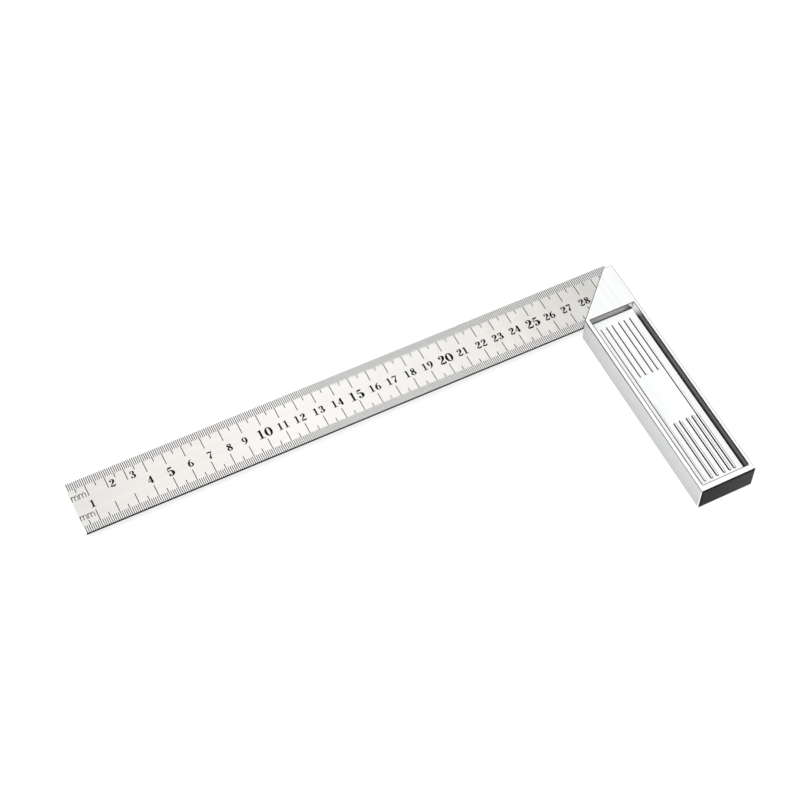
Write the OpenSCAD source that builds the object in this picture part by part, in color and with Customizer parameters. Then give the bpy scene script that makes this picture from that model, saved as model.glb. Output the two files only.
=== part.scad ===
// Carpenter square: a steel rule blade pinned into a recessed aluminium stock.
// Origin: the inside corner of the square, on the plane the stock rests on.
// +X runs along the blade from its free end to the stock, +Y from the blade's
// inner edge to its outer edge, +Z up to the scale face. Millimetres.

/* [Blade] */
// Length of the blade, from its free end to the outer face of the stock
blade_len = 300; // [150:10:400]
// Width of the blade
blade_w = 30; // [26:1:50]
// Thickness of the blade
blade_t = 1; // [0.6:0.1:2]

/* [Scale] */
// How far the zero of the scale lies past the blade's free end
zero_past = 1.35; // [0:0.05:3]
// Depth of the etched marks
mark_depth = 0.05; // [0.02:0.01:0.1]
// Width of every mark
mark_w = 0.4; // [0.15:0.01:0.6]
// Length of a 1 mm mark
mark_one = 4.4; // [2:0.1:6]
// Length of a 5 mm mark
mark_five = 6.7; // [4:0.1:9]
// Length of a 10 mm mark
mark_ten = 10.8; // [7:0.1:13]

/* [Stock] */
// Width of the stock, across its length
stock_w = 30; // [25:0.1:34]
// Thickness of the stock
stock_t = 14.8; // [10:0.1:25]
// Length of the stock below the blade's inner edge
stock_drop = 113.2; // [80:0.1:200]
// Width of the flat end above the 45 degree face
head_end_w = 5.1; // [3:0.1:12]
// How far below the blade's inner edge the 45 degree face starts
mitre_drop = 0.6; // [0:0.1:3]
// Bevel along the outline of both cheeks
edge_bevel = 0.3; // [0.1:0.05:1]

/* [Recess] */
// Depth of the recess in each cheek
recess_depth = 5.5; // [2:0.1:6.5]
// Rim left on the side of the blade
rim_inner = 2.6; // [1:0.1:6]
// Rim left on the outer side
rim_outer = 1.7; // [1:0.1:6]
// Rim left at the lower end
rim_end = 3.4; // [1:0.1:10]
// Metal left between the blade's inner edge and the recess
rim_head = 1.3; // [0.5:0.1:5]
// How much each long wall leans in from rim to floor
wall_lean = 0.65; // [0.2:0.05:1.5]
// Radius of the two corners at the lower end
recess_r = 0.8; // [0.3:0.1:3]
// Bevel around the mouth of the recess
mouth_bevel = 0.3; // [0.1:0.05:0.5]

/* [Ribs] */
// Width of a rib at the recess floor
rib_w = 1.3; // [0.9:0.1:2]
// Height of a rib above the recess floor
rib_h = 0.5; // [0.2:0.1:1]
// How much each side of a rib leans in from the floor to its top
rib_draft = 0.35; // [0.1:0.05:0.4]
// Distance from the recess middle to the first short rib on each side
rib_inner = 1.97; // [1.5:0.01:3]
// Distance from the recess middle to the second short rib on each side
rib_middle = 5.12; // [4:0.01:7]
// Distance from the recess middle to the long rib on each side
rib_outer = 8.4; // [7:0.1:9]
// Plain space between the head wall and the ribs
rib_gap_head = 4.3; // [2:0.1:10]
// Plain space between the ribs and the end wall
rib_gap_end = 3.4; // [2:0.1:10]
// Length of the plain field between the short ribs, in the middle of the recess
field_len = 30.3; // [10:0.1:50]
// How far the lower short ribs stand to the outer side of the upper ones
rib_step = 0.6; // [0:0.1:1]

/* [Pins] */
// Diameter of the pins that hold the blade in the head
pin_d = 4; // [2:0.5:6]
// Distance from a pin's axis to the blade's inner edge and to the stock's back
pin_side = 5.5; // [4:0.1:7]
// Distance from a pin's axis to the 45 degree face
pin_mitre = 4.5; // [4:0.1:6]
// Bevel on the blind end of a pin
pin_bevel = 0.4; // [0.1:0.1:1]
// Metal left over the blind end of a pin, so that the upper cheek stays clean
pin_cover = 2.5; // [1:0.1:4]
// Gap around a pin in the stock, where it is pressed in
press_gap = 0.01; // [0.01:0.01:0.05]
// Gap around a pin in the blade, which lets the blade be squared before pinning
blade_hole_gap = 0.05; // [0.02:0.01:0.2]
// Gap between the blade and each side of its slot
slot_gap = 0.02; // [0.01:0.01:0.1]

/* [Hidden] */
$fn = 48;
// How far a cut runs past the face that it opens, and a rib roots below the floor
overrun = 0.5;
steel = [0.88, 0.87, 0.85];
alloy = [0.93, 0.93, 0.94];
pin_steel = [0.75, 0.75, 0.76];
blade_z = (stock_t - blade_t) / 2;
free_x = stock_w - blade_len;
zero_x = free_x - zero_past;
first_mark = floor(zero_past + mark_w) + 1;
outer_last = floor(min(blade_len, blade_len + zero_past - mark_w));
inner_last = floor(blade_len - stock_w + mark_ten + zero_past);
blade_top = blade_z + blade_t;
head_rise = stock_w - head_end_w - mitre_drop;
floor_z = stock_t - recess_depth;
mouth_z = stock_t - mouth_bevel;
// Size of the blocks that shape bevels and corners
reach = 4;
outline = [
    [0, -stock_drop],
    [stock_w, -stock_drop],
    [stock_w, head_rise],
    [head_rise + mitre_drop, head_rise],
    [0, -mitre_drop]
];
pin_len = stock_t - pin_cover;
drill_tip = pin_d / 4;
mitre_shift = mitre_drop + pin_mitre * sqrt(2);
corner_pin = [pin_side + mitre_shift, pin_side];
back_pin = [stock_w - pin_side, pin_side];
top_pin = [stock_w - pin_side, stock_w - pin_side - mitre_shift];
pins = [corner_pin, back_pin, top_pin];
recess_x0 = rim_inner;
recess_x1 = stock_w - rim_outer;
recess_y0 = -stock_drop + rim_end;
recess_y1 = -rim_head;
recess_mid = (recess_x0 + recess_x1) / 2;
rib_y0 = recess_y0 + rib_gap_end;
rib_y1 = recess_y1 - rib_gap_head;
field_y0 = (recess_y0 + recess_y1 - field_len) / 2;
field_y1 = field_y0 + field_len;

// Length of the mark at a given number of millimetres
function mark_len(mm) = mm % 10 == 0 ? mark_ten : mm % 5 == 0 ? mark_five : mark_one;

// One etched mark, laid inwards from an edge (side 0 inner, side 1 outer)
module mark(mm, side) {
    run = mark_len(mm) + overrun;
    y = side == 0 ? -overrun : blade_w + overrun - run;
    translate([zero_x + mm - mark_w / 2, y, blade_top - mark_depth])
        cube([mark_w, run, mark_depth + overrun]);
}

module scale_marks() {
    for (mm = [first_mark : outer_last])
        mark(mm, 1);
    for (mm = [first_mark : inner_last])
        mark(mm, 0);
}

module blade() {
    color(steel)
    difference() {
        translate([free_x, 0, blade_z])
            cube([blade_len, blade_w, blade_t]);
        for (p = pins)
            translate([p[0], p[1], blade_z - overrun])
                cylinder(d = pin_d + 2 * blade_hole_gap, h = blade_t + 2 * overrun);
        scale_marks();
    }
}

// The stock's outline, pulled up to its full thickness
module stock_block() {
    linear_extrude(height = stock_t)
        polygon(outline);
}

// A block whose lower face is the bevel plane of one outline edge
module bevel_cut(p, q, tilt, z) {
    run = norm(q - p);
    turn = atan2(q[1] - p[1], q[0] - p[0]);
    translate([p[0], p[1], z])
    rotate([0, 0, turn])
    rotate([tilt, 0, 0])
    translate([-reach, -reach / 2, -edge_bevel / sqrt(2)])
        cube([run + 2 * reach, reach, reach]);
}

module outline_bevels() {
    for (i = [0 : len(outline) - 1]) {
        p = outline[i];
        q = outline[(i + 1) % len(outline)];
        bevel_cut(p, q, 45, stock_t);
        bevel_cut(p, q, 135, 0);
    }
}

// Whatever is drawn for the upper cheek, and the same for the lower cheek
module both_cheeks() {
    children();
    translate([0, 0, stock_t])
    mirror([0, 0, 1])
        children();
}

module recess_outline() {
    translate([recess_x0, recess_y0 + recess_r])
        square([recess_x1 - recess_x0, recess_y1 - recess_y0 - recess_r]);
    translate([recess_x0 + recess_r, recess_y0])
        square([recess_x1 - recess_x0 - 2 * recess_r, 2 * recess_r]);
    for (x = [recess_x0 + recess_r, recess_x1 - recess_r])
        translate([x, recess_y0 + recess_r])
            circle(r = recess_r);
}

// Cross-section of the recess: below its mouth both long walls lean in towards the floor
module recess_section() {
    polygon([
        [recess_x0 + wall_lean, floor_z],
        [recess_x1 - wall_lean, floor_z],
        [recess_x1, mouth_z],
        [recess_x1, stock_t + overrun],
        [recess_x0, stock_t + overrun],
        [recess_x0, mouth_z]
    ]);
}

module recess_cut() {
    intersection() {
        translate([0, recess_y1, 0])
        rotate([90, 0, 0])
        linear_extrude(height = recess_y1 - recess_y0)
            recess_section();
        translate([0, 0, floor_z - overrun])
        linear_extrude(height = recess_depth + 3 * overrun)
            recess_outline();
    }
}

// Cross-section of the beveled mouth between two walls
module mouth_section(low, high) {
    out = mouth_bevel + overrun;
    polygon([
        [low, mouth_z],
        [high, mouth_z],
        [high + out, stock_t + overrun],
        [low - out, stock_t + overrun]
    ]);
}

// The bevel follows the recess: sharp corners at the head, round ones at the lower end
module mouth_cut() {
    centers = [recess_x0 + recess_r, recess_x1 - recess_r];
    y = recess_y0 + recess_r;
    difference() {
        intersection() {
            translate([0, recess_y1 + reach, 0])
            rotate([90, 0, 0])
            linear_extrude(height = recess_y1 - recess_y0 + 2 * reach)
                mouth_section(recess_x0, recess_x1);
            translate([-reach, 0, 0])
            rotate([90, 0, 90])
            linear_extrude(height = stock_w + 2 * reach)
                mouth_section(recess_y0, recess_y1);
        }
        translate([centers[0] - reach, y - reach, mouth_z - overrun])
            cube([reach, reach, mouth_bevel + 3 * overrun]);
        translate([centers[1], y - reach, mouth_z - overrun])
            cube([reach, reach, mouth_bevel + 3 * overrun]);
    }
    for (x = centers)
        translate([x, y, mouth_z])
            cylinder(r1 = recess_r, r2 = recess_r + mouth_bevel + overrun, h = mouth_bevel + overrun);
}

// One raised rib with leaning sides and round ends, rooted in the recess floor
module rib(x, y0, y1) {
    run = y1 - y0 - rib_w;
    top_r = rib_w / 2 - rib_draft;
    root_r = rib_w / 2 + rib_draft * overrun / rib_h;
    translate([x, y0 + rib_w / 2, floor_z]) {
        translate([0, run, 0])
        rotate([90, 0, 0])
        linear_extrude(height = run)
            polygon([[-root_r, -overrun], [root_r, -overrun], [top_r, rib_h], [-top_r, rib_h]]);
        for (y = [0, run])
            translate([0, y, -overrun])
                cylinder(r1 = root_r, r2 = top_r, h = rib_h + overrun);
    }
}

// Two long ribs outside, four short ones above and below the plain field
module ribs() {
    for (dx = [-rib_outer, rib_outer])
        rib(recess_mid + dx, rib_y0, rib_y1);
    for (dx = [-rib_middle, -rib_inner, rib_inner, rib_middle]) {
        rib(recess_mid + dx, field_y1, rib_y1);
        rib(recess_mid + dx + rib_step, rib_y0, field_y0);
    }
}

// The slot sawn through the head for the blade
module blade_slot() {
    translate([-overrun, -slot_gap, blade_z - slot_gap])
        cube([stock_w + 2 * overrun, blade_w, blade_t + 2 * slot_gap]);
}

// A blind hole drilled up from the lower cheek, with the drill's cone at its end
module pin_hole(p) {
    translate([p[0], p[1], -overrun])
        cylinder(d = pin_d + 2 * press_gap, h = pin_len + overrun);
    translate([p[0], p[1], pin_len])
        cylinder(d1 = pin_d + 2 * press_gap, d2 = 0, h = drill_tip);
}

module stock() {
    color(alloy) {
        difference() {
            stock_block();
            outline_bevels();
            both_cheeks() {
                recess_cut();
                mouth_cut();
            }
            blade_slot();
            for (p = pins)
                pin_hole(p);
        }
        both_cheeks()
            ribs();
    }
}

// A pin pressed in from below and ground flush with the lower cheek
module pin(p) {
    r = pin_d / 2;
    color(pin_steel)
    translate([p[0], p[1], 0])
    rotate_extrude()
        polygon([[0, 0], [r, 0], [r, pin_len - pin_bevel], [r - pin_bevel, pin_len], [0, pin_len]]);
}

blade();
stock();
pin(corner_pin);  // pin_corner
pin(back_pin);  // pin_back
pin(top_pin);  // pin_top
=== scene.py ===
import bpy
import bmesh
from math import cos, sin, pi, hypot, radians
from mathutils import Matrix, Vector
from mathutils.geometry import delaunay_2d_cdt


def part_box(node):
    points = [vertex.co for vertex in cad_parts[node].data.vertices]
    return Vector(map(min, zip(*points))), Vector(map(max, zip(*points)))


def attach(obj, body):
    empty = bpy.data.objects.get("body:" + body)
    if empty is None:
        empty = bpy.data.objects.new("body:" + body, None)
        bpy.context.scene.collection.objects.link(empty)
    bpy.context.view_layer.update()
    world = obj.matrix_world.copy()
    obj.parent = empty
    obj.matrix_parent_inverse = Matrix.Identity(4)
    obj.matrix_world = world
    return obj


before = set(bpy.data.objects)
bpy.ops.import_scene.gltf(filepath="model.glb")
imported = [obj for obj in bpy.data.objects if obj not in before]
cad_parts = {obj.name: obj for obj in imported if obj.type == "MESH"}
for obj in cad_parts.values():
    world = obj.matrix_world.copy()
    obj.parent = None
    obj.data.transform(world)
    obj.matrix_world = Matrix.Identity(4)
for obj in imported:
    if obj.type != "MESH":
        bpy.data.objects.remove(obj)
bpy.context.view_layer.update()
mm = 0.001                                   # sizes in the dictionaries below are millimetres
zeroGap = 1.35                               # from the scale's zero to the blade's free end
bladeLow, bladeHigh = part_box("blade")
stockLow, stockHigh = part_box("stock")
zeroX = bladeLow.x - zeroGap * mm
faceZ = bladeHigh.z                          # the blade's upper side
middleZ = (stockLow.z + stockHigh.z) / 2
print("frame loaded")


def inMetres(lengths):
    return [length * mm for length in lengths]


# makes a node, sets its properties and fills its inputs with values or sockets
def addNode(tree, kind, values=None, **props):
    node = tree.nodes.new(kind)
    for name, value in props.items():
        setattr(node, name, value)
    for key, value in (values or {}).items():
        if isinstance(value, bpy.types.NodeSocket):
            tree.links.new(value, node.inputs[key])
        else:
            node.inputs[key].default_value = value
    return node


def calc(tree, operation, *values):
    kind = "ShaderNodeMath"
    return addNode(tree, kind, dict(enumerate(values)), operation=operation).outputs[0]


# masks are 1 where something holds and 0 elsewhere
def over(tree, value, limit):
    return calc(tree, "GREATER_THAN", value, limit)


def under(tree, value, limit):
    return calc(tree, "LESS_THAN", value, limit)


def times(tree, *values):
    product = values[0]
    for value in values[1:]:
        product = calc(tree, "MULTIPLY", product, value)
    return product


def between(tree, value, low, high):
    return times(tree, over(tree, value, low), under(tree, value, high))


def either(tree, first, second):
    return calc(tree, "MAXIMUM", first, second)


def inverse(tree, mask):
    return calc(tree, "SUBTRACT", 1.0, mask)


# how far value is from a place, on either side of it
def away(tree, value, place):
    return calc(tree, "ABSOLUTE", calc(tree, "SUBTRACT", value, place))


# 0 below low, 1 above high, straight between
def fraction(tree, value, low, high):
    return addNode(tree, "ShaderNodeMapRange", {0: value, 1: low, 2: high}).outputs[0]


# 0 below low, 1 above high, smooth between
def rise(tree, value, low, high):
    node = addNode(tree, "ShaderNodeMapRange", {0: value, 1: low, 2: high}, interpolation_type="SMOOTHSTEP")
    return node.outputs[0]


# first where the factor is 0, last where it is 1
def blend(tree, factor, first, last):
    return addNode(tree, "ShaderNodeMapRange", {0: factor, 3: first, 4: last}).outputs[0]


# a tone as the eye reads it, 0 to 255, turned into the linear light that the nodes use
def seen(*levels):
    linear = [(v / 255 / 12.92 if v < 10 else ((v / 255 + 0.055) / 1.055) ** 2.4) for v in levels]
    return (*(linear * 3)[:3], 1)


def mixTone(tree, factor, first, second, blending="MIX"):
    node = addNode(tree, "ShaderNodeMix", data_type="RGBA", blend_type=blending)
    for place, value in ((0, factor), (6, first), (7, second)):      # the node's inputs for colours
        socket = node.inputs[place]
        if isinstance(value, bpy.types.NodeSocket):
            tree.links.new(value, socket)
        else:
            socket.default_value = value
    return node.outputs[2]


def ramp(tree, value, stops, interpolation="LINEAR"):
    node = addNode(tree, "ShaderNodeValToRGB", {"Fac": value})
    node.color_ramp.interpolation = interpolation
    elements = node.color_ramp.elements
    while len(elements) < len(stops):
        elements.new(0.5)
    for element, (place, tone) in zip(elements, stops):
        element.position = place
        element.color = tone
    return node.outputs["Color"]


# stretched noise: size is the length in millimetres of one speck along x, y and z
def noise(tree, size, detail=3.0, roughness=0.6, shift=0.0):
    coords = addNode(tree, "ShaderNodeTexCoord").outputs["Object"]
    scale = [1 / length for length in inMetres(size)]
    mapping = {"Vector": coords, "Location": (shift, shift, shift), "Scale": scale}
    stretch = addNode(tree, "ShaderNodeMapping", mapping).outputs[0]
    values = {"Vector": stretch, "Scale": 1.0, "Detail": detail, "Roughness": roughness}
    return addNode(tree, "ShaderNodeTexNoise", values).outputs["Fac"]


# a point's place on its piece and the way that its face looks, each with an X, a Y and a Z
def placeAndFacing(tree):
    coords = addNode(tree, "ShaderNodeTexCoord").outputs
    place = addNode(tree, "ShaderNodeSeparateXYZ", {0: coords["Object"]})
    facing = addNode(tree, "ShaderNodeSeparateXYZ", {0: coords["Normal"]})
    return place.outputs, facing.outputs


def newMaterial(name, constants):
    material = bpy.data.materials.new(name)
    material.use_nodes = True
    tree = material.node_tree
    tree.nodes.clear()
    shader = addNode(tree, "ShaderNodeBsdfPrincipled", constants)
    addNode(tree, "ShaderNodeOutputMaterial", {"Surface": shader.outputs[0]})
    return material, tree, shader


def setInputs(tree, shader, sockets):
    for name, socket in sockets.items():
        tree.links.new(socket, shader.inputs[name])


# relief holds the strength of a bump and its depth in millimetres
def roughen(tree, shader, height, relief):
    strength, depth = relief
    values = {"Height": height, "Strength": strength, "Distance": depth * mm}
    bump = addNode(tree, "ShaderNodeBump", values)
    tree.links.new(bump.outputs[0], shader.inputs["Normal"])


# camera, at the photograph's place
camera = {
    "lens": 83.125,
    "sensor": 36.0,
    "place": (-329.6, -451.55, 771.8),
    "turn": (33.571, -0.034, -26.462),       # degrees
    "clipStart": 10.0,
    "clipEnd": 50000.0,
}


def makeCamera():
    data = bpy.data.cameras.new("camera")
    data.lens = camera["lens"]
    data.sensor_width = camera["sensor"]
    data.clip_start = camera["clipStart"] * mm
    data.clip_end = camera["clipEnd"] * mm
    obj = bpy.data.objects.new("camera", data)
    obj.location = inMetres(camera["place"])
    obj.rotation_euler = [radians(angle) for angle in camera["turn"]]
    bpy.context.collection.objects.link(obj)
    bpy.context.scene.camera = obj


makeCamera()
print("camera set")


# studio: a pale floor and soft lamps; lengths here are metres
studio = {
    "floorSize": 12.0,
    "floorGap": 0.0002,                      # under the stock
    "floorTone": 0.26,                       # what a shadow can take away
    "floorGlow": 0.77,                       # what the camera sees besides
    "ambient": 0.30,
    "keyPower": 34.0,
    "keySize": 0.9,
    "keyPlace": (-0.55, -0.62, 1.95),
    "fillPower": 4.5,
    "fillSize": 1.0,
    "fillPlace": (-1.6, 0.5, 0.9),
    "lampTarget": (-0.1, 0.0, 0.0),
}


# camera, glossy and transmission rays see the background at full white
def backgroundRays(tree):
    rays = addNode(tree, "ShaderNodeLightPath").outputs
    glossy = either(tree, rays["Is Glossy Ray"], rays["Is Transmission Ray"])
    return either(tree, rays["Is Camera Ray"], glossy)


def paleFloor():
    material = bpy.data.materials.new("paleFloor")
    material.use_nodes = True
    tree = material.node_tree
    tree.nodes.clear()
    tone = studio["floorTone"]
    diffuse = addNode(tree, "ShaderNodeBsdfDiffuse", {"Color": (tone, tone, tone, 1)})
    glow = addNode(tree, "ShaderNodeEmission", {"Strength": studio["floorGlow"]})
    both = addNode(tree, "ShaderNodeAddShader", {0: diffuse.outputs[0], 1: glow.outputs[0]})
    surface = {0: backgroundRays(tree), 1: diffuse.outputs[0], 2: both.outputs[0]}
    chosen = addNode(tree, "ShaderNodeMixShader", surface)
    addNode(tree, "ShaderNodeOutputMaterial", {"Surface": chosen.outputs[0]})
    return material


def makeFloor():
    half = studio["floorSize"] / 2
    z = stockLow.z - studio["floorGap"]
    corners = [(-half, -half, z), (half, -half, z), (half, half, z), (-half, half, z)]
    mesh = bpy.data.meshes.new("floor")
    mesh.from_pydata(corners, [], [(0, 1, 2, 3)])
    mesh.materials.append(paleFloor())
    obj = bpy.data.objects.new("floor", mesh)
    bpy.context.collection.objects.link(obj)


def makeWorld():
    world = bpy.data.worlds.new("studio")
    world.use_nodes = True
    bpy.context.scene.world = world
    tree = world.node_tree
    tree.nodes.clear()
    level = blend(tree, backgroundRays(tree), studio["ambient"], 1.0)
    sky = addNode(tree, "ShaderNodeBackground", {"Color": (1, 1, 1, 1), "Strength": level})
    addNode(tree, "ShaderNodeOutputWorld", {"Surface": sky.outputs[0]})


def makeLamp(name):
    data = bpy.data.lights.new(name + "Lamp", "AREA")
    data.shape = "DISK"
    data.size = studio[name + "Size"]
    data.energy = studio[name + "Power"]
    obj = bpy.data.objects.new(name + "Lamp", data)
    obj.location = studio[name + "Place"]
    aim = Vector(studio["lampTarget"]) - obj.location
    obj.rotation_euler = aim.to_track_quat("-Z", "Y").to_euler()
    bpy.context.collection.objects.link(obj)


makeFloor()
makeWorld()
makeLamp("key")
makeLamp("fill")
bpy.context.scene.view_settings.view_transform = "Standard"
print("studio set")


# blade: satin spring steel, ground along its length
steelFinish = {
    # painted reflection: the blade is paler in the middle and darker towards both ends
    "tones": ((0.0, seen(224, 222, 218)), (0.17, seen(234, 231, 227)), (0.40, seen(243, 241, 238)),
              (0.60, seen(240, 238, 235)), (0.78, seen(236, 233, 229)), (0.95, seen(217, 215, 211))),
    "coolBand": seen(222, 226, 220),         # faint bands across the blade, near the stock
    "bandSize": (9.0, 400.0, 400.0),
    "bandStops": (0.42, 0.58),
    "bandPlace": (0.45, 0.95),               # along the blade, from 0 to 1
    "bandStrength": 0.25,
    "grainSize": (60.0, 0.35, 5.0),
    "grainTones": ((0.3, seen(250)), (0.7, seen(255))),
    "streakSize": (220.0, 2.2, 5.0),
    "streakTones": ((0.35, seen(252)), (0.65, seen(255))),
    "stripTone": seen(250),                  # the polished strips that carry the short marks
    "stripWidth": 4.5,
    "stripStrength": 0.5,
    "edgeTone": seen(4),                     # painted shade on the inner edge face and along its top
    "edgeFacing": -0.5,
    "edgeWidth": (0.3, 0.22),                # of the dark painted line along its top, at the free end and at the stock
    "headShade": seen(75),                    # painted shade: a dark reflection and contact shadow beside the head's 45 degree face
    "headWidth": (0.7, 1.26),                # full up to the first and gone at the second
    "mitreDrop": 0.6,                        # how far below the blade's inner edge that face starts
    "mitreRise": 23.7,                       # and how far above it the face ends
    "metallic": 0.45,
    "specular": 0.08,
    "roughness": (0.34, 0.48),               # least and most
    "relief": (0.15, 0.01),                  # strength, and depth in millimetres
}


# ground steel, with painted reflection paler mid-length, cool bands near the stock and brighter strips under
# the short marks
def groundTone(tree, place, along, grain):
    finish = steelFinish
    tone = ramp(tree, along, finish["tones"], "EASE")
    bands = rise(tree, noise(tree, finish["bandSize"], detail=1.0, roughness=0.5), *finish["bandStops"])
    nearStock = rise(tree, along, *finish["bandPlace"])
    cool = times(tree, bands, nearStock, finish["bandStrength"])
    tone = mixTone(tree, cool, tone, finish["coolBand"], "MULTIPLY")
    streaks = noise(tree, finish["streakSize"], detail=2.0, roughness=0.5, shift=3.0)
    tone = mixTone(tree, 1.0, tone, ramp(tree, grain, finish["grainTones"]), "MULTIPLY")
    tone = mixTone(tree, 1.0, tone, ramp(tree, streaks, finish["streakTones"]), "MULTIPLY")
    middle = bladeHigh.y / 2
    polished = over(tree, away(tree, place["Y"], middle), middle - finish["stripWidth"] * mm)
    return mixTone(tree, times(tree, polished, finish["stripStrength"]), tone, finish["stripTone"])


# the inner edge face and the dark line along it, both painted shade
def shearedEdge(tree, place, facing, along):
    line = blend(tree, along, *inMetres(steelFinish["edgeWidth"]))
    turned = under(tree, facing["Y"], steelFinish["edgeFacing"])
    return either(tree, turned, under(tree, place["Y"], line))


# painted shade on the blade beside the head's 45 degree face
def besideHead(tree, place):
    mitreLine = calc(tree, "SUBTRACT", place["X"], steelFinish["mitreDrop"] * mm)
    fromHead = calc(tree, "SUBTRACT", place["Y"], mitreLine)
    faded = rise(tree, fromHead, *inMetres(steelFinish["headWidth"]))
    return times(tree, inverse(tree, faded), under(tree, place["Y"], steelFinish["mitreRise"] * mm))


def bladeSteel():
    finish = steelFinish
    material, tree, shader = newMaterial("bladeSteel", {"Specular IOR Level": finish["specular"]})
    place, facing = placeAndFacing(tree)
    along = fraction(tree, place["X"], bladeLow.x, bladeHigh.x)
    grain = noise(tree, finish["grainSize"])
    shadedEdge = shearedEdge(tree, place, facing, along)
    tone = groundTone(tree, place, along, grain)
    tone = mixTone(tree, besideHead(tree, place), tone, finish["headShade"])
    tone = mixTone(tree, shadedEdge, tone, finish["edgeTone"])
    rough = blend(tree, grain, *finish["roughness"])
    metal = blend(tree, shadedEdge, finish["metallic"], 0.0)
    setInputs(tree, shader, {"Base Color": tone, "Roughness": rough, "Metallic": metal})
    roughen(tree, shader, grain, finish["relief"])
    return material


# stock: die-cast aluminium, cheeks and long sides ground, ends and recess walls rougher as cast; their dark
# colours are painted shade
alloyFinish = {
    "cheek": seen(252, 253, 253),
    "cheekLine": seen(241, 244, 243),
    "floor": seen(254, 255, 255),
    "floorLine": seen(250, 252, 251),
    "lineStops": (0.35, 0.6),
    "lineSize": (0.42, 140.0, 30.0),
    # painted shade: the side is paler at the top than at the bottom
    "sideTop": seen(220, 221, 222),
    "sideBottom": seen(202, 203, 204),
    "sideRim": 0.8,                          # a bright strip at the lower end
    "besideBlade": (-6.0, -2.0),             # painted light: the side grows brighter towards the blade's inner edge, at 0
    "besideRise": 2.0,                       # and above the stock's middle
    "besideDull": 0.8,                       # how much less metallic it is there
    # painted shade: the lower end is dark, darkest at its edge on the blade's side
    "endTones": ((0.0, seen(5)), (0.02, seen(5)), (0.055, seen(57, 57, 59)), (1.0, seen(88, 88, 90))),
    "endRim": seen(5),                       # painted shade along the top of the lower end
    "endRimStart": (0.86, 0.92),
    # painted shade on the recess walls by depth, and painted reflection near the head
    "outerWall": ((0.06, seen(40)), (0.2, seen(84)), (0.4, seen(118, 120, 122)), (0.6, seen(70)),
                  (0.8, seen(14)), (1.0, seen(6))),
    "headWall": ((0.0, seen(145)), (0.2, seen(180)), (0.45, seen(186, 187, 189)), (0.75, seen(138)),
                 (0.88, seen(66)), (1.0, seen(22))),
    "wallBright": seen(250),
    "wallCorner": seen(160),
    "wallBlack": seen(5),
    # painted shade on the ribs' flanks
    "ribSide": seen(48),                     # on the blade's side
    "ribDark": seen(8),                      # on the outer side
    "ribFoot": seen(205),
    "ribFootDepth": (0.962, 0.988),
    "ribFootPlace": (0.1, 0.5),              # across the stock, from 0 to 1
    "ribBack": seen(110),                    # painted shade on the ribs' far flanks and beside their feet, only on the lower ribs
    # painted shade on the bevels and along the top of the side
    "edgeLine": seen(14),
    "edgeFar": seen(130),                    # the edge on the blade's side grows paler towards the lower end
    "edgeStart": (0.075, 0.105),             # where that line ends on the side, as a depth
    "edgeFade": 0.05,
    "headEdge": seen(95),                    # painted shade on the edge of the recess at the head
    "mouthLine": seen(40),                   # painted shade: a dark line beside the recess, inside and at the lower end
    "mouthWidth": 0.15,
    "roughGround": (0.31, 0.43),             # least and most
    "roughCast": 0.5,
    "speckSize": (0.25, 0.25, 0.25),
    "metallic": 0.35,
    "sideMetallic": 0.85,
    "specular": 0.04,
    "relief": (0.2, 0.015),
}
recess = {
    "inner": 2.6,                            # rim on the blade's side
    "outer": 1.7,
    "end": 3.4,
    "head": 1.3,
    "slack": 0.1,                            # how far the masks reach past the mouth
    "depth": 5.5,
    "lean": 0.65,                            # of the long walls
    "leanSlack": 0.25,
    "endSlack": 0.3,                         # how far in from the mouth a short wall may stand
    "bevel": 0.3,
    "brightRun": (3.366, 10.2),              # how far the painted reflection of the bright corner reaches along the outer wall
    "brightSlant": 4.0,                      # and how much less far at the floor
    "gleamRun": 3.8,                         # painted highlight: the bright triangle at the same corner of the head wall
    "gleamEdge": (0.9, 1.1),                 # how soft its slanted side is, over that run
    "gleamFade": 2.0,                        # the painted black shade beside it ends at this many runs
    "gleamCorner": (0.8, 1.8),
    "ribHalf": 0.65,                         # half a rib's width at the floor
}
# rib middles from the stock's inner side, and the painted shadow strips along the ribs' feet: on the blade's
# side and, for the lower ones, at the back
ribGroups = (
    {"places": (10.93, 14.08, 18.02, 21.17, 23.85), "low": -105.8, "high": -71.3,
     "shade": 0.2, "back": 0.15},
    {"places": (10.33, 13.48, 17.42, 20.57, 23.85), "low": -39.8, "high": -6.2,
     "shade": 0.08, "back": 0.0},
)
# what tells the stock's faces apart: the way they look, and their depth in the recess from 0 to 1
faceLimits = {
    "upright": 0.4,                          # an upright face looks up or down less than this
    "flat": 0.9,                             # and a level one more than this
    "side": -0.8,
    "end": -0.85,
    "wall": 0.7,
    "edge": -0.5,
    "rib": -0.3,
    "topDepth": 0.02,
    "mouthDepth": 0.012,
    "bevelDepth": 0.1,
    "floorDepth": 0.88,
    "mouthReach": 1.0,                       # millimetres
    "fade": (0.1, 1.0),                      # from the blade to the lower end
}


# low and high corner of the recess at its mouth
def recessCorners():
    slack = recess["slack"]
    lowX = stockLow.x + (recess["inner"] - slack) * mm
    lowY = stockLow.y + (recess["end"] - slack) * mm
    highX = stockHigh.x - (recess["outer"] - slack) * mm
    highY = -(recess["head"] - slack) * mm
    return lowX, lowY, highX, highY


# depth from the nearer cheek, 1 at the recess floor
def recessDepth(tree, place):
    half = (stockHigh.z - stockLow.z) / 2
    sunk = calc(tree, "SUBTRACT", half, away(tree, place["Z"], middleZ))
    return calc(tree, "DIVIDE", sunk, recess["depth"] * mm)


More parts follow.
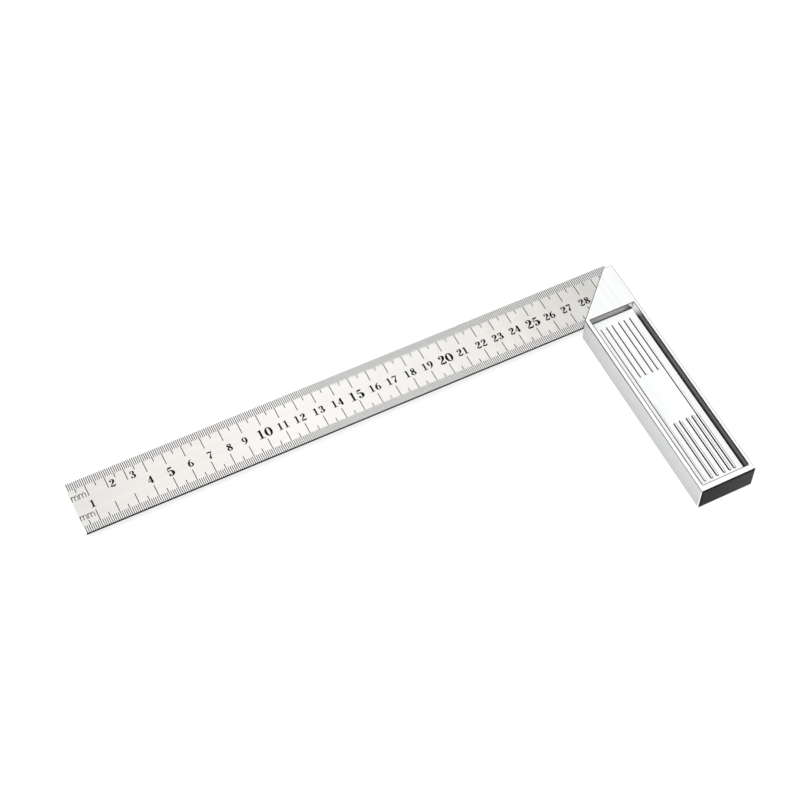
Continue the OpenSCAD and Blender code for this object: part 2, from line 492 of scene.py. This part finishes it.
# where on the stock a point lies, from its place and the way that its face looks
def stockMasks(tree, place, facing):
    lowX, lowY, highX, highY = recessCorners()
    limits = faceLimits
    depth = recessDepth(tree, place)
    up = calc(tree, "ABSOLUTE", facing["Z"])
    upright = under(tree, up, limits["upright"])
    steep = between(tree, up, limits["upright"], limits["flat"])
    inside = times(tree, between(tree, place["X"], lowX, highX), between(tree, place["Y"], lowY, highY))
    outside = inverse(tree, inside)
    floorLevel = times(tree, inside, over(tree, depth, limits["floorDepth"]))
    flank = times(tree, floorLevel, steep)
    lowerHalf = under(tree, place["Y"], stockLow.y / 2)
    masks = {
        "depth": depth,
        "fromHead": calc(tree, "SUBTRACT", highY, place["Y"]),
        "fromOuter": calc(tree, "SUBTRACT", highX, place["X"]),
        "fade": rise(tree, calc(tree, "DIVIDE", place["Y"], stockLow.y), *limits["fade"]),
        "side": times(tree, outside, upright, over(tree, facing["Y"], limits["side"])),
        "end": times(tree, outside, under(tree, facing["Y"], limits["end"])),
        "bevel": times(tree, steep, under(tree, depth, limits["bevelDepth"])),
        "floor": times(tree, floorLevel, over(tree, up, limits["flat"])),
        "ribSide": times(tree, flank, under(tree, facing["X"], limits["rib"])),
        "ribBack": times(tree, flank, over(tree, facing["X"], limits["rib"]), lowerHalf),
    }
    masks.update(wallMasks(tree, place, facing, times(tree, inside, upright)))
    masks.update(edgeMasks(tree, place, facing, depth))
    masks["mouthLine"] = mouthLine(tree, place, masks)
    walls = either(tree, masks["longWall"], masks["crossWall"])
    masks["cast"] = either(tree, walls, either(tree, masks["end"], steep))
    return masks


def wallMasks(tree, place, facing, wall):
    lowX, lowY, highX, highY = recessCorners()
    reach = (highX - lowX) / 2 - (recess["lean"] + recess["leanSlack"]) * mm
    nearSide = over(tree, away(tree, place["X"], (lowX + highX) / 2), reach)
    slack = recess["endSlack"] * mm
    nearEnd = either(tree, over(tree, place["Y"], highY - slack), under(tree, place["Y"], lowY + slack))
    across = over(tree, calc(tree, "ABSOLUTE", facing["X"]), faceLimits["wall"])
    along = over(tree, calc(tree, "ABSOLUTE", facing["Y"]), faceLimits["wall"])
    return {"longWall": times(tree, wall, nearSide, across), "crossWall": times(tree, wall, nearEnd, along)}


def edgeMasks(tree, place, facing, depth):
    highX, highY = recessCorners()[2:]
    reach = faceLimits["mouthReach"] * mm
    toHead = under(tree, facing["Y"], faceLimits["edge"])
    toOuter = under(tree, facing["X"], faceLimits["edge"])
    atMouth = under(tree, depth, faceLimits["mouthDepth"])
    return {
        "sideEdge": under(tree, place["X"], stockLow.x + 2 * recess["bevel"] * mm),
        "headEdge": times(tree, toHead, over(tree, place["Y"], highY - reach)),
        "outerMouth": times(tree, toOuter, over(tree, place["X"], highX - reach), atMouth),
    }


# a dark line of painted shade on the cheek beside the mouth of the recess, twice as wide towards the lower
# end
def mouthLine(tree, place, masks):
    highX, highY = recessCorners()[2:]
    rimX = stockLow.x + (recess["inner"] - recess["bevel"]) * mm
    rimY = stockLow.y + (recess["end"] - recess["bevel"]) * mm
    besideX = calc(tree, "SUBTRACT", rimX, place["X"])
    besideY = calc(tree, "SUBTRACT", rimY, place["Y"])
    width = alloyFinish["mouthWidth"] * mm
    wider = calc(tree, "MULTIPLY_ADD", masks["fade"], width, width)
    beyond = over(tree, either(tree, besideX, besideY), 0.0)
    near = times(tree, beyond, under(tree, besideX, wider), under(tree, besideY, width))
    within = times(tree, under(tree, place["X"], highX), under(tree, place["Y"], highY))
    return times(tree, under(tree, masks["depth"], faceLimits["topDepth"]), near, within)


# distance to the nearest of some places
def nearest(tree, value, places):
    gaps = [away(tree, value, place * mm) for place in places]
    closest = gaps[0]
    for gap in gaps[1:]:
        closest = calc(tree, "MINIMUM", closest, gap)
    return closest


# painted shadow strips along the feet of a group of ribs, on one side (-1 is the blade's) and of one width
def footStrips(tree, place, group, side, width):
    shift = side * (recess["ribHalf"] + width / 2)
    close = nearest(tree, place["X"], [middle + shift for middle in group["places"]])
    along = between(tree, place["Y"], group["low"] * mm, group["high"] * mm)
    return times(tree, under(tree, close, width / 2 * mm), along)


# the patch of the side that mirrors the blade, lifted with painted light where the blade's shadow and
# reflection would darken it
def besideBlade(tree, place):
    near = rise(tree, place["Y"], *inMetres(alloyFinish["besideBlade"]))
    return times(tree, near, rise(tree, place["Z"], middleZ, middleZ + alloyFinish["besideRise"] * mm))


# the side's colour: painted shade, paler at the top and darker at the bottom, a bright strip at the lower
# end and painted light beside the blade
def sideTone(tree, place, height, nearBlade):
    finish = alloyFinish
    tone = ramp(tree, height, ((0.0, finish["sideBottom"]), (1.0, finish["sideTop"])))
    lowerEnd = under(tree, place["Y"], stockLow.y + finish["sideRim"] * mm)
    return mixTone(tree, either(tree, nearBlade, lowerEnd), tone, finish["cheek"])


# the lower end's colour, painted dark as shade
def endTone(tree, height, across):
    tone = ramp(tree, across, alloyFinish["endTones"])
    return mixTone(tree, rise(tree, height, *alloyFinish["endRimStart"]), tone, alloyFinish["endRim"])


# the bevels: dark lines of painted shade, but the outer mouth keeps the cheek's tone
def edgeTone(tree, masks):
    finish = alloyFinish
    faded = times(tree, masks["sideEdge"], masks["fade"])
    tone = mixTone(tree, faded, finish["edgeLine"], finish["edgeFar"])
    tone = mixTone(tree, masks["headEdge"], tone, finish["headEdge"])
    return mixTone(tree, masks["outerMouth"], tone, finish["cheek"])


# the dark line of painted shade at the top of the side, thinner towards the lower end
def sideLine(tree, masks):
    lowered = calc(tree, "ADD", masks["depth"], times(tree, masks["fade"], alloyFinish["edgeFade"]))
    return times(tree, masks["side"], inverse(tree, rise(tree, lowered, *alloyFinish["edgeStart"])))


# the outer wall: painted shade by depth, with a painted reflection bright near the head
def outerWallTone(tree, masks):
    tone = ramp(tree, masks["depth"], alloyFinish["outerWall"])
    slanted = calc(tree, "MULTIPLY_ADD", masks["depth"], recess["brightSlant"] * mm, masks["fromHead"])
    dimmed = rise(tree, slanted, *inMetres(recess["brightRun"]))
    return mixTone(tree, dimmed, alloyFinish["wallBright"], tone)


# the head wall: painted shade by depth, a painted black patch near the outer corner and a painted highlight
# in that corner
def headWallTone(tree, masks):
    finish = alloyFinish
    tone = ramp(tree, masks["depth"], finish["headWall"])
    gleam = calc(tree, "DIVIDE", masks["fromOuter"], recess["gleamRun"] * mm)
    tone = mixTone(tree, rise(tree, gleam, 0.0, recess["gleamFade"]), finish["wallBlack"], tone)
    fromCorner = rise(tree, masks["fromOuter"], *inMetres(recess["gleamCorner"]))
    bright = mixTone(tree, fromCorner, finish["wallCorner"], finish["wallBright"])
    slanted = calc(tree, "ADD", masks["depth"], gleam)
    return mixTone(tree, rise(tree, slanted, *recess["gleamEdge"]), bright, tone)


def linedTone(tree, lines, dark, pale):
    return ramp(tree, lines, tuple(zip(alloyFinish["lineStops"], (dark, pale))))


# the recess floor: ground lines, with painted shadow strips beside the ribs
def floorTone(tree, place, lines):
    finish = alloyFinish
    tone = linedTone(tree, lines, finish["floorLine"], finish["floor"])
    for group in ribGroups:
        tone = mixTone(tree, footStrips(tree, place, group, -1, group["shade"]), tone, finish["ribDark"])
        tone = mixTone(tree, footStrips(tree, place, group, 1, group["back"]), tone, finish["ribBack"])
    return tone


# a rib's near flank: painted shade, darker across towards the outer side and paler at its foot
def ribTone(tree, masks, across):
    finish = alloyFinish
    tone = mixTone(tree, across, finish["ribSide"], finish["ribDark"])
    low = rise(tree, masks["depth"], *finish["ribFootDepth"])
    foot = times(tree, low, inverse(tree, rise(tree, across, *finish["ribFootPlace"])))
    return mixTone(tree, foot, tone, finish["ribFoot"])


def stockAlloy():
    finish = alloyFinish
    material, tree, shader = newMaterial("stockAlloy", {"Specular IOR Level": finish["specular"]})
    place, facing = placeAndFacing(tree)
    masks = stockMasks(tree, place, facing)
    lines = noise(tree, finish["lineSize"])
    height = fraction(tree, place["Z"], stockLow.z, stockHigh.z)
    across = fraction(tree, place["X"], stockLow.x, stockHigh.x)
    nearBlade = besideBlade(tree, place)
    tone = linedTone(tree, lines, finish["cheekLine"], finish["cheek"])
    layers = (                               # each covers those before it
        (masks["side"], sideTone(tree, place, height, nearBlade)),
        (masks["end"], endTone(tree, height, across)),
        (masks["bevel"], edgeTone(tree, masks)),
        (sideLine(tree, masks), finish["edgeLine"]),
        (masks["mouthLine"], finish["mouthLine"]),
        (masks["longWall"], outerWallTone(tree, masks)),
        (masks["crossWall"], headWallTone(tree, masks)),
        (masks["floor"], floorTone(tree, place, lines)),
        (masks["ribSide"], ribTone(tree, masks, across)),
        (masks["ribBack"], finish["ribBack"]),
    )
    for mask, layer in layers:
        tone = mixTone(tree, mask, tone, layer)
    cast = masks["cast"]
    rough = blend(tree, cast, blend(tree, lines, *finish["roughGround"]), finish["roughCast"])
    metal = blend(tree, masks["side"], finish["metallic"], finish["sideMetallic"])
    dull = either(tree, either(tree, cast, masks["floor"]), times(tree, nearBlade, finish["besideDull"]))
    metal = times(tree, metal, inverse(tree, dull))
    setInputs(tree, shader, {"Base Color": tone, "Roughness": rough, "Metallic": metal})
    roughen(tree, shader, blend(tree, cast, lines, noise(tree, finish["speckSize"])), finish["relief"])
    return material


# pins: plain steel, faced off with the cheek
pinFinish = {
    "tone": seen(196, 197, 199),
    "ring": seen(222, 223, 224),
    "ringScale": 700.0,
    "ringWobble": 0.6,
    "metallic": 0.8,
    "roughness": 0.34,
    "relief": (0.2, 0.01),
}


def pinSteel(centre):
    finish = pinFinish
    constants = {"Metallic": finish["metallic"], "Roughness": finish["roughness"]}
    material, tree, shader = newMaterial("pinSteel", constants)
    coords = addNode(tree, "ShaderNodeTexCoord").outputs["Object"]
    middle = addNode(tree, "ShaderNodeMapping", {"Vector": coords, "Location": (-centre.x, -centre.y, 0)})
    waves = {"Vector": middle.outputs[0], "Scale": finish["ringScale"], "Distortion": finish["ringWobble"]}
    rings = addNode(tree, "ShaderNodeTexWave", waves, wave_type="RINGS", rings_direction="Z").outputs["Fac"]
    tone = ramp(tree, rings, ((0.0, finish["tone"]), (1.0, finish["ring"])))
    setInputs(tree, shader, {"Base Color": tone})
    roughen(tree, shader, rings, finish["relief"])
    return material


def dress(nodeName, material):
    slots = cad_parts[nodeName].data.materials
    slots.clear()
    slots.append(material)


dress("blade", bladeSteel())
dress("stock", stockAlloy())
for pinName in ("pin_corner", "pin_back", "pin_top"):
    low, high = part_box(pinName)
    dress(pinName, pinSteel((low + high) / 2))
print("finishes set")


# ink: what fills the etched marks and prints the numerals
inkFinish = {
    "marks": seen(16),
    "numerals": seen(5),
    "units": seen(30),
    "wornSize": (0.6, 0.6, 0.6),
    "wornStops": (0.4, 0.75),
    "wornGain": 1.5,                         # how much paler the worn specks are
    "wornLift": 0.004,
    "roughness": (0.45, 0.65),
    "specular": 0.08,
    "relief": (0.15, 0.004),
}


def ink(name, tone):
    finish = inkFinish
    material, tree, shader = newMaterial(name, {"Specular IOR Level": finish["specular"]})
    worn = noise(tree, finish["wornSize"])
    paler = tuple(min(1.0, v * finish["wornGain"] + finish["wornLift"]) for v in tone[:3]) + (1,)
    tones = ramp(tree, worn, tuple(zip(finish["wornStops"], (tone, paler))))
    rough = blend(tree, worn, *finish["roughness"])
    setInputs(tree, shader, {"Base Color": tones, "Roughness": rough})
    roughen(tree, shader, worn, finish["relief"])
    return material


# scale marks: ink bars lying in the blade's etched grooves
scaleMarks = {
    "Spacing": 1.0,
    "Mark width": 0.395,
    "One length": 4.4,
    "Five length": 6.7,
    "Ten length": 10.8,
    "First mark": 2,
    "Outer count": 299,
    "Inner count": 281,
    "Ink bottom": 0.049,                     # both are depths under the blade's face
    "Ink top": 0.006,
}


def scaleTree():
    tree = bpy.data.node_groups.new("scaleMarks", "GeometryNodeTree")
    sockets = tree.interface
    sockets.new_socket("Geometry", in_out="OUTPUT", socket_type="NodeSocketGeometry")
    for name, value in scaleMarks.items():
        kind = "NodeSocketInt" if isinstance(value, int) else "NodeSocketFloat"
        sockets.new_socket(name, in_out="INPUT", socket_type=kind)
    for name in ("Zero X", "Face Z", "Blade width"):
        sockets.new_socket(name, in_out="INPUT", socket_type="NodeSocketFloat")
    sockets.new_socket("Ink", in_out="INPUT", socket_type="NodeSocketMaterial")
    given = tree.nodes.new("NodeGroupInput").outputs
    outer = markRow(tree, given, given["Outer count"], given["Blade width"], -1.0)
    inner = markRow(tree, given, given["Inner count"], 0.0, 1.0)
    joined = tree.nodes.new("GeometryNodeJoinGeometry")
    tree.links.new(outer, joined.inputs[0])
    tree.links.new(inner, joined.inputs[0])
    real = addNode(tree, "GeometryNodeRealizeInstances", {0: joined.outputs[0]})
    inked = addNode(tree, "GeometryNodeSetMaterial", {0: real.outputs[0], "Material": given["Ink"]})
    addNode(tree, "NodeGroupOutput", {0: inked.outputs[0]})
    return tree


# 1 where a mark's number is a multiple of step
def multiple(tree, number, step):
    tolerance = 0.1
    return calc(tree, "COMPARE", calc(tree, "MODULO", number, step), 0.0, tolerance)


# one row of bars, from an edge of the blade inwards
def markRow(tree, given, count, edge, inward):
    middle = calc(tree, "MULTIPLY", calc(tree, "ADD", given["Ink bottom"], given["Ink top"]), -0.5)
    startX = calc(tree, "MULTIPLY_ADD", given["First mark"], given["Spacing"], given["Zero X"])
    startZ = calc(tree, "ADD", given["Face Z"], middle)
    start = addNode(tree, "ShaderNodeCombineXYZ", {0: startX, 1: edge, 2: startZ})
    step = addNode(tree, "ShaderNodeCombineXYZ", {0: given["Spacing"]})
    values = {"Count": count, "Start Location": start.outputs[0], "Offset": step.outputs[0]}
    line = addNode(tree, "GeometryNodeMeshLine", values, mode="OFFSET")
    number = calc(tree, "ADD", tree.nodes.new("GeometryNodeInputIndex").outputs[0], given["First mark"])
    toFive = calc(tree, "SUBTRACT", given["Five length"], given["One length"])
    toTen = calc(tree, "SUBTRACT", given["Ten length"], given["Five length"])
    fiveMore = times(tree, multiple(tree, number, 5.0), toFive)
    tenMore = times(tree, multiple(tree, number, 10.0), toTen)
    length = calc(tree, "ADD", given["One length"], calc(tree, "ADD", fiveMore, tenMore))
    shift = addNode(tree, "ShaderNodeCombineXYZ", {1: calc(tree, "MULTIPLY", length, 0.5 * inward)})
    points = addNode(tree, "GeometryNodeSetPosition", {0: line.outputs[0], "Offset": shift.outputs[0]})
    bar = addNode(tree, "GeometryNodeMeshCube", {"Size": (1, 1, 1)})
    thick = calc(tree, "SUBTRACT", given["Ink bottom"], given["Ink top"])
    size = addNode(tree, "ShaderNodeCombineXYZ", {0: given["Mark width"], 1: length, 2: thick})
    values = {"Points": points.outputs[0], "Instance": bar.outputs[0], "Scale": size.outputs[0]}
    return addNode(tree, "GeometryNodeInstanceOnPoints", values).outputs[0]


# runs a node tree once and keeps its result as a plain mesh
def bakeTree(name, tree, values):
    emptyMesh = bpy.data.meshes.new(name + "Maker")
    maker = bpy.data.objects.new(name + "Maker", emptyMesh)
    bpy.context.collection.objects.link(maker)
    modifier = maker.modifiers.new(name, "NODES")
    modifier.node_group = tree
    for item in tree.interface.items_tree:
        if item.in_out == "INPUT" and item.name in values:
            modifier[item.identifier] = values[item.name]
    ready = maker.evaluated_get(bpy.context.evaluated_depsgraph_get())
    mesh = bpy.data.meshes.new_from_object(ready)
    maker.modifiers.remove(modifier)
    bpy.data.objects.remove(maker)
    piece = bpy.data.objects.new(name, mesh)
    mesh.name = name
    bpy.context.collection.objects.link(piece)
    return piece


def makeScaleMarks():
    values = {key: value if isinstance(value, int) else value * mm for key, value in scaleMarks.items()}
    values["Zero X"] = zeroX
    values["Face Z"] = faceZ
    values["Blade width"] = bladeHigh.y
    values["Ink"] = ink("markInk", inkFinish["marks"])
    piece = bakeTree("scaleMarks", scaleTree(), values)
    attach(piece, "root")


makeScaleMarks()
print("scale marks made")


# numerals: drawn by strokes in a cell one high, with thick stems and thin hairlines
glyphs = {
    "0": [("ring", 0.32, 0.50, 0.235, 0.465, 0.185, 0.055)],
    "1": [("poly", (0.20, 0.0), (0.40, 0.0), (0.40, 1.0), (0.30, 1.0), (0.07, 0.90), (0.07, 0.86),
           (0.20, 0.87)),
          ("path", (0.04, 0.025, 0.05), (0.56, 0.025, 0.05))],
    "2": [("dot", 0.175, 0.755, 0.105),
          ("path", (0.085, 0.80, 0.05), (0.16, 0.93, 0.06), (0.32, 0.975, 0.055), (0.475, 0.86, 0.16),
           (0.47, 0.64, 0.19), (0.31, 0.42, 0.12), (0.13, 0.25, 0.06), (0.055, 0.10, 0.05)),
          ("path", (0.06, 0.06, 0.10), (0.20, 0.085, 0.15), (0.40, 0.06, 0.15), (0.52, 0.10, 0.12),
           (0.57, 0.26, 0.04))],
    "3": [("dot", 0.16, 0.79, 0.095),
          ("dot", 0.155, 0.215, 0.105),
          ("path", (0.08, 0.84, 0.04), (0.17, 0.95, 0.055), (0.31, 0.975, 0.05), (0.44, 0.89, 0.15),
           (0.45, 0.70, 0.17), (0.35, 0.57, 0.09), (0.22, 0.535, 0.05)),
          ("path", (0.22, 0.535, 0.05), (0.37, 0.51, 0.09), (0.49, 0.38, 0.18), (0.485, 0.19, 0.18),
           (0.36, 0.055, 0.07), (0.21, 0.025, 0.05), (0.075, 0.12, 0.05))],
    "4": [("path", (0.02, 0.285, 0.07), (0.60, 0.285, 0.07)),
          ("path", (0.42, 0.02, 0.18), (0.42, 0.98, 0.18)),
          ("path", (0.26, 0.025, 0.05), (0.58, 0.025, 0.05)),
          ("path", (0.47, 1.0, 0.06), (0.24, 0.64, 0.06), (0.03, 0.285, 0.06))],
    "5": [("path", (0.12, 0.90, 0.04), (0.20, 0.915, 0.13), (0.36, 0.905, 0.15), (0.53, 0.965, 0.04)),
          ("path", (0.135, 0.90, 0.05), (0.105, 0.50, 0.05)), ("dot", 0.165, 0.19, 0.105),
          ("path", (0.105, 0.52, 0.04), (0.21, 0.605, 0.06), (0.37, 0.59, 0.10), (0.49, 0.43, 0.19),
           (0.485, 0.22, 0.19), (0.36, 0.06, 0.07), (0.21, 0.025, 0.05), (0.08, 0.12, 0.05))],
    "6": [("ring", 0.325, 0.305, 0.20, 0.275, 0.165, 0.055),
          ("path", (0.125, 0.30, 0.17), (0.135, 0.52, 0.18), (0.225, 0.75, 0.14), (0.39, 0.92, 0.07),
           (0.54, 0.985, 0.035))],
    "7": [("path", (0.075, 0.78, 0.04), (0.10, 0.90, 0.10), (0.24, 0.925, 0.15), (0.42, 0.90, 0.14),
           (0.58, 0.97, 0.05)),
          ("path", (0.565, 0.96, 0.05), (0.46, 0.70, 0.07), (0.33, 0.40, 0.12), (0.265, 0.18, 0.19),
           (0.27, 0.06, 0.19)),
          ("dot", 0.27, 0.09, 0.095)],
    "8": [("ring", 0.315, 0.76, 0.17, 0.215, 0.14, 0.05), ("ring", 0.315, 0.275, 0.205, 0.25, 0.16, 0.05),
          ("path", (0.16, 0.79, 0.12), (0.24, 0.62, 0.17), (0.38, 0.47, 0.17), (0.49, 0.32, 0.15))],
    "m": [("path", (0.05, 0.0, 0.1), (0.05, 1.0, 0.1)),
          ("path", (0.05, 0.62, 0.1), (0.22, 0.92, 0.1), (0.44, 0.95, 0.1), (0.60, 0.74, 0.1),
           (0.61, 0.3, 0.1), (0.61, 0.0, 0.1)),
          ("path", (0.61, 0.62, 0.1), (0.78, 0.92, 0.1), (1.00, 0.95, 0.1), (1.16, 0.74, 0.1),
           (1.17, 0.3, 0.1), (1.17, 0.0, 0.1))],
}
lettering = {
    "cellWidth": 0.62,
    "weight": 1.28,                          # makes every stroke thicker
    "stretch": 1.09,                         # and every numeral wider
    "small": 4.2,
    "smallAdvance": 3.2,
    "smallMiddle": 14.4,                     # height of the row's middle above the blade's inner edge
    "big": 5.25,                             # every fifth numeral
    "bigAdvance": 4.0,
    "bigMiddle": 14.26,
    "last": 28,
    "raised": (2, 3),                        # these two stand higher
    "raisedMiddle": 20.9,
    "shifts": {2: 2.5, 3: 3.0, 4: -0.3, 5: 0.2, 6: 0.6, 7: 0.95, 8: 1.2, 9: -0.5, 12: -0.9, 13: -0.7,
               14: -0.5, 16: 0.2, 17: -0.25, 18: -0.1, 19: -0.4, 20: -0.3, 21: -0.6, 23: -0.5, 24: -0.7,
               25: -0.25, 26: -0.5, 27: -0.5},
    "unitHeight": 2.8,
    "unitAdvance": 3.85,
    "unitStart": 1.5,
    "unitBottoms": (7.4, 19.2),
    "above": 0.02,                           # thickness over the blade's face
    "below": 0.02,                           # and under it
    "curveSteps": 6,
    "ringCorners": 26,
    "dotCorners": 18,
    "mergeGap": 1e-4,                        # in cell heights
}


# a curve from b to c at t, from 0 to 1, bent by what comes before and after
def bend(a, b, c, d, t):
    square = (2 * a - 5 * b + 4 * c - d) * t * t
    cube = (3 * b - a - 3 * c + d) * t ** 3
    return 0.5 * (2 * b + (c - a) * t + square + cube)


# a smooth line through the points; the third number of each is the stroke's width there
def smoothLine(points, steps):
    line = []
    last = len(points) - 1
    for i in range(last):
        around = (points[max(i - 1, 0)], points[i], points[i + 1], points[min(i + 2, last)])
        for step in range(steps):
            line.append([bend(*numbers, step / steps) for numbers in zip(*around)])
    line.append(list(points[last]))
    return line


def stripFaces(left, right):
    return [(left[i], left[i + 1], right[i + 1], right[i]) for i in range(len(left) - 1)]


def strokePath(points):
    line = smoothLine(points, 1 if len(points) == 2 else lettering["curveSteps"])
    left, right = [], []
    for i, (x, y, width) in enumerate(line):
        x0, y0, _ = line[max(i - 1, 0)]
        x1, y1, _ = line[min(i + 1, len(line) - 1)]
        run = hypot(x1 - x0, y1 - y0)
        half = width * lettering["weight"] / 2
        sideX = -(y1 - y0) / run * half
        sideY = (x1 - x0) / run * half
        left.append((x + sideX, y + sideY))
        right.append((x - sideX, y - sideY))
    return stripFaces(left, right)


# an outline that comes back to its first point
def ellipse(x, y, a, b, count):
    angles = [2 * pi * i / count for i in range(count + 1)]
    return [(x + a * cos(angle), y + b * sin(angle)) for angle in angles]


# every stroke comes back as a list of small convex outlines
def strokeFaces(kind, *numbers):
    if kind == "path":
        return strokePath(numbers)
    if kind == "poly":
        return [numbers]
    if kind == "dot":
        x, y, radius = numbers
        return [ellipse(x, y, radius, radius, lettering["dotCorners"])[:-1]]
    x, y, a, b, side, top = numbers
    halfSide = side * lettering["weight"] / 2
    halfTop = top * lettering["weight"] / 2
    count = lettering["ringCorners"]
    outer = ellipse(x, y, a + halfSide, b + halfTop, count)
    return stripFaces(outer, ellipse(x, y, a - halfSide, b - halfTop, count))


def covers(outline, x, y):
    crossings = 0
    for (x0, y0), (x1, y1) in zip(outline, (*outline[1:], outline[0])):
        if (y0 > y) != (y1 > y) and x < x0 + (y - y0) / (y1 - y0) * (x1 - x0):
            crossings += 1
    return crossings % 2 == 1


# the strokes melted into one flat shape: its points and triangles
def glyphShape(strokes):
    outlines = [outline for stroke in strokes for outline in strokeFaces(*stroke)]
    points, faces = [], []
    for outline in outlines:
        faces.append(list(range(len(points), len(points) + len(outline))))
        points += [Vector(point) for point in outline]
    merged = delaunay_2d_cdt(points, [], faces, 1, lettering["mergeGap"])
    corners = [(point.x, point.y) for point in merged[0]]
    triangles = []
    for triangle in merged[2]:
        x = sum(corners[i][0] for i in triangle) / 3
        y = sum(corners[i][1] for i in triangle) / 3
        if any(covers(outline, x, y) for outline in outlines):
            triangles.append(triangle)
    return corners, triangles


def turnedShape(shape):
    points, triangles = shape
    return [(lettering["cellWidth"] - x, 1 - y) for x, y in points], triangles


shapes = {sign: glyphShape(strokes) for sign, strokes in glyphs.items()}
shapes["9"] = turnedShape(shapes["6"])


# both faces of a plate and its rim; base is its first corner, count the corners of one face
def plateFaces(triangles, base, count):
    faces = []
    sides = set()
    for a, b, c in triangles:
        faces.append((base + a, base + b, base + c))
        faces.append((base + count + c, base + count + b, base + count + a))
        sides.update(((a, b), (b, c), (c, a)))
    for a, b in sorted(sides):
        if (b, a) not in sides:
            faces.append((base + b, base + a, base + count + a, base + count + b))
    return faces


# thin closed plates, one for each sign, sunk a little into the blade
def makePlates(name, plates, material):
    verts, faces = [], []
    for sign, x, y, width, height in plates:
        points, triangles = shapes[sign]
        faces += plateFaces(triangles, len(verts), len(points))
        for z in (faceZ + lettering["above"] * mm, faceZ - lettering["below"] * mm):
            verts += [(zeroX + (x + px * width) * mm, (y + py * height) * mm, z) for px, py in points]
    mesh = bpy.data.meshes.new(name)
    mesh.from_pydata(verts, [], faces)
    cleaned = bmesh.new()
    cleaned.from_mesh(mesh)
    loose = [vert for vert in cleaned.verts if not vert.link_faces]
    bmesh.ops.delete(cleaned, geom=loose, context="VERTS")
    bmesh.ops.recalc_face_normals(cleaned, faces=cleaned.faces)
    cleaned.to_mesh(mesh)
    cleaned.free()
    mesh.materials.append(material)
    piece = bpy.data.objects.new(name, mesh)
    bpy.context.collection.objects.link(piece)
    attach(piece, "root")


def makeNumerals():
    plates = []
    for number in range(1, lettering["last"] + 1):
        big = number % 5 == 0
        height = lettering["big" if big else "small"]
        advance = lettering["bigAdvance" if big else "smallAdvance"]
        middle = lettering["bigMiddle" if big else "smallMiddle"]
        if number in lettering["raised"]:
            middle = lettering["raisedMiddle"]
        digits = str(number)
        centre = 10 * number + lettering["shifts"].get(number, 0)
        width = height * lettering["stretch"]
        start = centre - (advance * (len(digits) - 1) + lettering["cellWidth"] * width) / 2
        for i, digit in enumerate(digits):
            plates.append((digit, start + i * advance, middle - height / 2, width, height))
    makePlates("numerals", plates, ink("numeralInk", inkFinish["numerals"]))


def makeUnits():
    plates = []
    height = lettering["unitHeight"]
    starts = [lettering["unitStart"] + i * lettering["unitAdvance"] for i in range(2)]
    for bottom in lettering["unitBottoms"]:
        for start in starts:
            plates.append(("m", start, bottom, height, height))
    makePlates("unitSigns", plates, ink("unitInk", inkFinish["units"]))


makeNumerals()
makeUnits()
print("numerals made")
